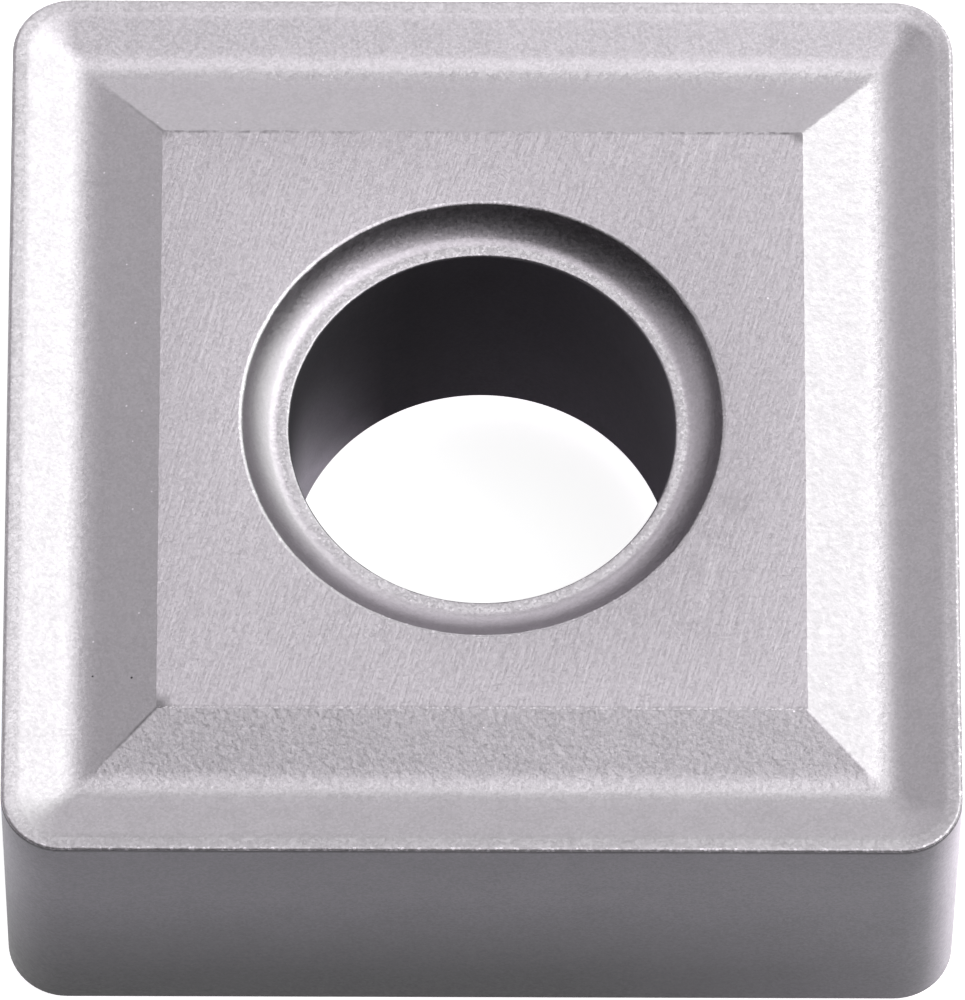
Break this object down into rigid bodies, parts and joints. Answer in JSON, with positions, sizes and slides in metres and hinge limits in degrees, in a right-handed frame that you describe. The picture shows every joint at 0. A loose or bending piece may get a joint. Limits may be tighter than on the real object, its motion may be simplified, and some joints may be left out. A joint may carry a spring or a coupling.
{
  "type": "turning insert",
  "caption": "Square double-sided turning insert of cermet: a honed edge and chipbreaker groove round each face, a flat island and a clamping hole.",
  "frame": {"origin": "on the axis of the hole, at the centre of the lower island, which the insert seats on", "axes": "+Z along the axis of the hole, up through the upper island; X and Y square to the sides"},
  "size_m": [0.0126, 0.0126, 0.0048],
  "materials": {
    "cermet": "as-sintered fine matt grain, with ground islands"
  },
  "bodies": {
    "root": {"turning_insert": "cermet"}
  },
  "joints": []
}
